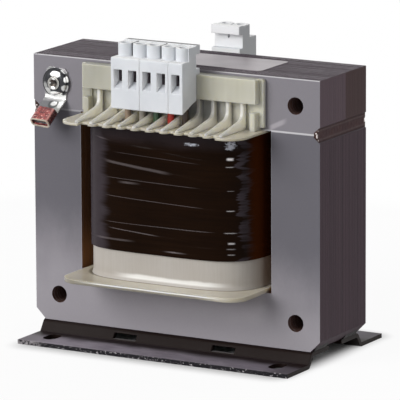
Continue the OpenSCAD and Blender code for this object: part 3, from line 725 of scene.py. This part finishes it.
def nylonPaint(name, n, tint):
    p = Paint("nylon" + name, specularIorLevel=0.45, subsurfaceWeight=0.85,
        subsurfaceRadius=(1.0, 0.95, 0.7), subsurfaceScale=tint["depth"] * mm)
    place = p.place()
    x, y, z = p.inMm(place)
    along = runRight(x, y)
    flow = p.grain(p.stretch(place, (1.0, 1.0, 0.5)), 60.0)
    fine = p.grain(place, 800.0, 2.0)
    colour = p.mix(flow.ramp(0.3, 0.7), tint["milk"], tint["pale"])
    # painted shade on the wall between the ribs, under the bar
    behind = abs(y).ramp(*n["veilDeep"]) * z.zone(*n["veilHigh"]) * x.zone(*n["wallShadeAlong"])
    colour = p.mix(behind * 0.8, colour, n["veil"])
    ribs = ((x * (2 * math.pi / n["pitch"])).wave() - 0.7).most(0.0)    # painted light: faint lighter bands where the ribs show through the bar
    colour = p.mix(ribs * z.ramp(*n["barLow"]) * 0.5, colour, tint["pale"])
    # painted shade: nylon faces darker or lighter by facing and position
    level = p.facing()[2].ramp(0.4, 0.8)
    turned = z.ramp(*n["flankShadeHigh"]).most(along.ramp(*n["flankShadeAlong"]))
    flank = (turned * tint["turn"] + tint["side"]).least(1.0)
    shade = (flank + (tint["top"] - flank) * level) * (x * (tint["lean"] * mm) + 1.0)
    tone = p.node("ShaderNodeCombineColor", {}, {0: shade, 1: shade, 2: shade})
    colour = p.mix(1.0, colour, tone, "MULTIPLY")
    gleam = (z - n["rimHigh"] + (flow - 0.5) * 0.3).near(0.14, 0.44) * abs(y).ramp(*n["rimOut"])
    colour = p.mix(gleam * along.zone(*n["rimAlong"]), colour, n["gleam"])
    band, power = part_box("margin_band")[1] / mm, coil["power"]
    past = ((abs(x) / band.x) ** power + (abs(y) / band.y) ** power) ** (1 / power)
    crack = past.ramp(*n["footShadeRing"]) * (z - n["footShadeHigh"]).near(0.2, 0.4)
    colour = p.mix(crack * 0.7, colour, n["crack"])             # painted shade line at the foot of the band
    return p.feed(baseColor=colour, roughness=tint["smooth"] + fine * 0.14,
        normal=p.bump(fine, 0.00005, 0.35, p.softEdge(tint["edge"] * mm)))


dress(nylonPaint("Bar", nylon, nylon["bar"]), "front_terminal_bar", "rear_terminal_bar")
dress(nylonPaint("Comb", nylon, nylon["comb"]), "front_comb_ribs", "rear_comb_ribs")
dress(nylonPaint("Flange", nylon, nylon["flange"]),
    "former_tube", "former_lower_flange", "former_upper_flange")
print("former dressed")

# terminals: cool grey plastic with zinc clamps and screws
terminals = {
    "grey": (0.735, 0.755, 0.785), "shade": (0.68, 0.70, 0.735), "lit": (0.985, 0.985, 0.985),
    "gap": (0.08, 0.08, 0.085), "gaps": (-15.0, 0.0), "gapWide": (0.32, 0.55), "edge": 0.35, "depth": 1.6,
    "ledge": 137.8, "frontRow": (10.0, -10.0), "towerFront": (-27.0, -27.2), "entryEnd": (14.0, 13.5),
    "lipHigh": (141.8, 142.3), "lipBack": (-27.2, -26.8),
    "zinc": (0.55, 0.54, 0.50), "zincDull": (0.34, 0.33, 0.30),
    "inside": (0.13, 0.11, 0.125), "insideDull": (0.06, 0.05, 0.056),
}


def terminalPaint(t):
    p = Paint("terminalPlastic", specularIorLevel=0.4, subsurfaceWeight=0.5,
        subsurfaceRadius=(1.0, 1.0, 1.0), subsurfaceScale=t["depth"] * mm)
    place = p.place()
    x, y, z = p.inMm(place)
    aside, ahead, upward = p.facing()
    flow = p.grain(p.stretch(place, (1.0, 1.0, 0.6)), 90.0)
    fine = p.grain(place, 1600.0, 2.0)
    colour = p.mix(flow.ramp(0.3, 0.75), t["grey"], t["shade"])
    level, ledge = upward.ramp(0.7, 0.95), t["ledge"]
    # painted light on the top faces
    colour = p.mix(level * z.ramp(ledge - 1.0, ledge - 0.5), colour, t["lit"])
    front = y.ramp(*t["frontRow"])
    # rear terminal: painted shade on its side faces, painted light on its front faces
    colour = p.mix(aside.ramp(0.7, 0.9) * (1.0 - front) * 0.25, colour, t["gap"])
    colour = p.mix(ahead.ramp(-0.7, -0.9) * (1.0 - front) * 0.6, colour, t["lit"])
    funnel = aside.ramp(0.2, 0.5) * x.ramp(*t["entryEnd"]) * z.ramp(ledge, ledge - 0.5)
    colour = p.mix(funnel * front, colour, t["lit"])            # painted light on the left walls of the wire entries
    # painted shade in the gaps between the towers
    between = z.ramp(ledge + 0.1, ledge + 0.4) * (1.0 - level) * y.ramp(*t["towerFront"])
    for gapX in t["gaps"]:
        colour = p.mix(between * (x - gapX).near(*t["gapWide"]), colour, t["gap"])
    # painted shade along the rear edge of the lip
    lip = z.ramp(*t["lipHigh"]) * y.ramp(*t["lipBack"])
    colour = p.mix(level * lip * front, colour, t["gap"])
    return p.feed(baseColor=colour, roughness=0.40 + fine * 0.14,
        normal=p.bump(fine, 0.00004, 0.4, p.softEdge(t["edge"] * mm)))


def zincPaint(name, bright, dull, edge, smooth):
    p = Paint(name, metallic=1.0)
    place = p.place()
    cloud = p.grain(place, 260.0)
    scratch = p.grain(p.stretch(place, (900.0, 120.0, 2600.0)), 1.0, 2.0)
    colour = p.mix((cloud * 0.8 + scratch * 0.3).ramp(0.35, 0.8), bright, dull)
    return p.feed(baseColor=colour, roughness=smooth + cloud * 0.16,
        normal=p.bump(scratch, 0.00006, 0.35, p.softEdge(edge * mm)))


dress(terminalPaint(terminals),
    "front_terminal_left", "front_terminal_middle", "front_terminal_right", "rear_terminal")
# painted shade: the clamps are dark as the inside of the wire entries
dress(zincPaint("clampSteel", terminals["inside"], terminals["insideDull"], 0.2, 0.4),
    "front_terminal_clamps", "rear_terminal_clamps")
dress(zincPaint("screwSteel", terminals["zinc"], terminals["zincDull"], 0.2, 0.3),
    "front_terminal_screws", "rear_terminal_screws")
print("terminals dressed")

# coil leads
leads = {
    "lead_orange": ((0.37, 0.275, 0.20), ("front_lead_1",)),
    "lead_cream": ((0.42, 0.39, 0.34), ("front_lead_2",)),
    "lead_green": ((0.045, 0.10, 0.050), ("front_lead_3",)),
    "lead_red": ((0.52, 0.035, 0.025), ("front_lead_4", "rear_lead_1")),
    "lead_brown": ((0.045, 0.026, 0.018), ("front_lead_5", "rear_lead_2")),
}


def leadPaint(name, colour):
    p = Paint(name, specularIorLevel=0.45)
    cloud = p.grain(p.stretch(p.place(), (1.0, 1.0, 0.3)), 500.0, 2.0)
    darker = tuple(v * 0.72 for v in colour)
    return p.feed(baseColor=p.mix(cloud, darker, colour), roughness=0.30 + cloud * 0.15,
        normal=p.bump(cloud, 0.00005, 0.3))


for name, (colour, worn) in leads.items():
    dress(leadPaint(name, colour), *worn)
print("leads dressed")

# feet: folded sheet, black paint, dull and dusty on the flanges with a painted sheen
feet = {
    "web": (0.0100, 0.0047, 0.0037), "dust": (0.196, 0.172, 0.205), "dustPale": (0.37, 0.33, 0.383),
    "rim": (0.013, 0.012, 0.015), "chip": (0.60, 0.56, 0.58), "sill": (0.15, 0.14, 0.14), "edge": 0.5,
    "worn": (29.0, 36.5, 0.05, 1.0), "wornEnds": (69.0, 52.0, 0.45, 1.0),
    "sillIn": (25.6, 25.3), "sillHigh": (4.5, 4.0), "rimOut": (44.7, 45.2), "chipOut": 45.25,
    "bareEnd": (-55.0, -64.0),
}


def footPaint(f):
    p = Paint("blackPaint", specularIorLevel=0.10)
    place = p.place()
    x, y, z = p.inMm(place)
    out = abs(y)
    level = p.facing()[2].ramp(0.70, 0.97)                      # the flanges lie flat, the webs slope
    cloud = p.grain(p.stretch(place, (0.5, 1.0, 1.0)), 130.0, 4.0, 0.65)
    speck = p.grain(place, 900.0, 3.0, 0.6)
    dust = p.mix((cloud - x * 0.0032).ramp(0.28, 0.78), f["dust"], f["dustPale"])
    # dust and painted sheen on the flanges, less near the fold and towards the ends
    worn = (out + (cloud - 0.5) * 5.0).ramp(*f["worn"]) * abs(x).ramp(*f["wornEnds"])
    colour = p.mix(level * worn, f["web"], dust)
    sill = level * out.ramp(*f["sillIn"]) * z.ramp(*f["sillHigh"])
    colour = p.mix(sill, colour, f["sill"])                     # painted light on the lower edge of the windows in the web
    colour = p.mix((1.0 - level) * out.ramp(*f["rimOut"]), colour, f["rim"])
    # chipped paint and painted highlights along the outer edge, more at the left end
    chip = speck.ramp(0.57, 0.66) * (out - f["chipOut"]).near(0.15, 0.6)
    bareAndGlint = speck.ramp(0.42, 0.54) * x.ramp(*f["bareEnd"]) * (out - f["chipOut"]).near(0.2, 0.7)
    colour = p.mix((chip * 0.85).most(bareAndGlint * 0.45), colour, f["chip"])
    return p.feed(baseColor=colour, roughness=0.34 + cloud * 0.2,
        normal=p.bump(speck * 0.4 + cloud, 0.00025, 0.25, p.softEdge(f["edge"] * mm)))


dress(footPaint(feet), "front_foot_rail", "rear_foot_rail")
print("feet painted")

# earth fixing: bright dome and lug with painted glints, red sleeve
earth = {
    "axis": (-62.5, 119.7), "front": -22.3, "edge": 0.3,
    "dark": (0.045, 0.046, 0.050), "grey": (0.30, 0.31, 0.30), "white": (0.97, 0.97, 0.95),
    "plate": (0.46, 0.44, 0.46), "brown": (0.085, 0.070, 0.058),
    "tin": (0.78, 0.77, 0.74), "dull": (0.52, 0.51, 0.48),
    "domeGlints": (
        # to the right of the bolt and above it, half width and half height, light
        (0.9, 4.1, 2.6, 1.7, 1.0), (6.0, 2.0, 1.1, 1.6, 1.0), (-4.6, -2.4, 1.6, 3.0, 0.34),
        (5.6, -2.2, 1.9, 1.7, 0.6), (0.8, -4.8, 4.0, 1.1, 1.0), (-3.6, -3.6, 2.0, 1.7, 0.55)),
    "washerGlints": (
        (6.0, 2.0, 1.1, 1.6, 1.0), (5.6, -2.2, 1.9, 1.7, 0.45),
        (4.6, 5.6, 2.2, 1.3, 0.55), (0.6, -6.6, 5.0, 1.7, 1.0)),
    "boltGlints": ((0.0, 2.0, 1.0, 0.5, 1.0), (-0.2, -2.2, 1.3, 0.6, 1.0), (-1.9, 0.1, 0.4, 0.5, 0.6)),
    "tailGlints": ((0.3, -9.4, 1.7, 0.8, 0.9), (3.9, -9.6, 1.5, 1.5, 0.9)),
    "thread": (0.30, 0.29, 0.27), "threadLit": (0.62, 0.60, 0.57),
    "threadOut": (2.6, 2.95), "endIn": (2.25, 1.7),
    "tail": (0.20, 0.20, 0.21), "tailPale": (0.42, 0.42, 0.40),
    "tailTurn": (-1.2, 1.6), "tailHigh": (-8.0, -8.8),
    "dent": (0.06, 0.065, 0.065), "dentPlace": (0.3, -9.4), "dentSquash": 1.5, "dentRadius": 2.1,
    "bend": (0.97, 0.97, 0.96), "bendHigh": (-5.4, -6.0), "bendLow": (-8.5, -7.8),
    "red": (0.40, 0.078, 0.070), "redDeep": (0.13, 0.022, 0.024), "redShade": (0.055, 0.012, 0.012),
    "pink": (0.84, 0.40, 0.36), "cut": (0.60, 0.50, 0.40),
    "tailTop": 112.3, "tilt": 36.0, "pinkFrom": (9.0, 11.0), "cutFrom": (16.0, 16.3),
}


def glintPaint(name, e, ground, glints, metal, extra=None):
    p = Paint(name, metallic=metal)
    place = p.place()
    x, y, z = p.inMm(place)
    right, up = x - e["axis"][0], z - e["axis"][1]
    cloud = p.grain(place, 420.0)
    plain = p.mix(cloud.ramp(0.35, 0.7), e["tin"], e["dull"])
    light = cloud * 0.0
    for *spot, strength in glints:
        apart = blot(right, up, spot, (cloud - 0.5) * 0.9)
        light = light.most((1.0 - apart.ramp(0.45, 1.15)) * strength)
    # front faces: the ground colour and glints paint the reflections, dark on the dome, washer and bolt
    colour = p.mix(cloud.ramp(0.3, 0.75), e[ground[0]], e[ground[1]])
    if extra:
        colour = extra(p, e, colour, right, up)
    colour = p.mix(light, colour, e["white"])
    colour = p.mix(y.ramp(e["front"], e["front"] + 0.2), colour, plain)     # plain plating behind the core
    return p.feed(baseColor=colour, roughness=0.16 + cloud * 0.14,
        normal=p.bump(cloud, 0.0001, 0.3, p.softEdge(e["edge"] * mm)))


def boltEnd(p, e, colour, right, up):
    # painted shade in the bolt's recess, painted light on the rings around it
    away = (right * right + up * up) ** 0.5
    ring = p.mix(away.ramp(*e["threadOut"]), e["thread"], e["threadLit"])
    return p.mix(away.ramp(*e["endIn"]), ring, colour)


def lugFace(p, e, colour, right, up):
    # painted light across the tail, painted shade round the dent's rim, painted highlight on the bend
    tail = p.mix((right + up * 0.12).ramp(*e["tailTurn"]), e["tail"], e["tailPale"])
    across, high = right - e["dentPlace"][0], (up - e["dentPlace"][1]) * e["dentSquash"]
    dent = ((across ** 2.0 + high ** 2.0) ** 0.5 - e["dentRadius"]).near(0.2, 0.7)
    tail = p.mix(dent * 0.8, tail, e["dent"])
    bend = up.ramp(*e["bendHigh"]) * (up + right * 0.15).ramp(*e["bendLow"])
    return p.mix(bend, p.mix(up.ramp(*e["tailHigh"]), colour, tail), e["bend"])


def sleevePaint(e):
    p = Paint("redSleeve", specularIorLevel=0.6, subsurfaceWeight=0.25,
        subsurfaceRadius=(1.0, 0.25, 0.2), subsurfaceScale=0.0015)
    place = p.place()
    y, z = p.inMm(place)[1:]
    tilt = math.radians(e["tilt"])
    reach = (e["front"] - y) * math.cos(tilt) + (e["tailTop"] - z) * math.sin(tilt)
    crumple = p.grain(place, 520.0, 3.0, 0.6)
    fold = p.grain(p.stretch(place, (1.0, 1.0, 1.6)), 900.0, 2.0)
    colour = p.mix(crumple.ramp(0.36, 0.62), e["redDeep"], e["red"])
    side = p.facing()[0]
    # painted highlights on the creases and on a strip of the right side
    creaseHighlight = fold.ramp(0.57, 0.65) * reach.ramp(*e["pinkFrom"])
    colour = p.mix(creaseHighlight.most(side.zone(0.2, 0.45, 0.6, 0.8) * 0.6), colour, e["pink"])
    colour = p.mix(side.ramp(0.65, 0.9) * 0.85, colour, e["redShade"])
    colour = p.mix(reach.ramp(*e["cutFrom"]), colour, e["cut"])
    return p.feed(baseColor=colour, roughness=0.16 + crumple * 0.2,
        normal=p.bump(crumple + fold * 0.5, 0.0012, 0.6, p.softEdge(0.5 * mm)))


dress(glintPaint("domeZinc", earth, ("dark", "dark"), earth["domeGlints"], 0.9), "earth_nut")
dress(glintPaint("boltZinc", earth, ("brown", "dark"), earth["boltGlints"], 0.9, boltEnd), "earth_bolt")
dress(glintPaint("washerZinc", earth, ("dark", "dark"), earth["washerGlints"], 0.7), "earth_washer")
dress(glintPaint("lugTin", earth, ("plate", "grey"), earth["tailGlints"], 0.4, lugFace), "earth_lug")
dress(sleevePaint(earth), "lug_sleeve")
print("earth fixing dressed")

# bare foil label on the top yoke
label = {
    "x": (-38.0, 40.0), "y": (-13.5, 13.6), "corner": 2.0, "thick": 0.14, "wave": 0.05,
    "columns": 76, "rows": 28,
    "foil": (0.31, 0.275, 0.293), "bright": (0.44, 0.405, 0.42), "left": (0.64, 0.60, 0.615),
    "leftFrom": (-14.0, -34.0),
}


def labelPaint(b):
    p = Paint("labelFoil", metallic=0.35, specularIorLevel=0.5)
    place = p.place()
    brushed = p.grain(p.stretch(place, (60.0, 2200.0, 60.0)), 1.0)
    cloud = p.grain(place, 48.0)
    colour = p.mix((cloud * 0.8 + brushed * 0.4 - 0.1).ramp(0.2, 0.8), b["foil"], b["bright"])
    colour = p.mix((p.inMm(place)[0] + (cloud - 0.5) * 20.0).ramp(*b["leftFrom"]), colour, b["left"])
    return p.feed(baseColor=colour, roughness=0.30 + brushed * 0.15,
        normal=p.bump(brushed * 0.3 + cloud, 0.0003, 0.2))


def makeLabel(b):
    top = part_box("i_yoke")[1].z / mm
    (x0, x1), (y0, y1), r = b["x"], b["y"], b["corner"]
    cx, cy, hw, hd = (x0 + x1) / 2, (y0 + y1) / 2, (x1 - x0) / 2, (y1 - y0) / 2
    points, faces = [], []
    n, rows = b["columns"] + 1, b["rows"]
    for j in range(rows + 1):
        v = hd * math.sin(math.pi * (j / rows - 0.5))           # rows close up at the round corners
        past = max(0.0, abs(v) - (hd - r))
        w = hw - r + math.sqrt(max(0.0, r * r - past * past))
        for i in range(n):
            u = w * (2 * i / b["columns"] - 1)
            wave = b["wave"] * (noise.noise((u * 0.08, v * 0.08, 3.0)) + 1)
            points.append(((cx + u) * mm, (cy + v) * mm, (top + b["thick"] + wave) * mm))
    for j in range(rows):
        for i in range(b["columns"]):
            faces.append((j * n + i, j * n + i + 1, (j + 1) * n + i + 1, (j + 1) * n + i))
    rim = list(range(n)) + [j * n + n - 1 for j in range(1, rows + 1)]
    rim += [rows * n + i for i in range(n - 2, -1, -1)] + [j * n for j in range(rows - 1, 0, -1)]
    start = len(points)
    points += [(points[i][0], points[i][1], top * mm) for i in rim]
    for k in range(len(rim)):
        q = (k + 1) % len(rim)
        faces.append((rim[k], start + k, start + q, rim[q]))
    faces.append(tuple(reversed(range(start, start + len(rim)))))
    tidyNormals(addPiece("rating_label", points, faces, labelPaint(b), sharpAngle=50))


makeLabel(label)
print("label laid")

bpy.context.scene.view_settings.view_transform = "Standard"
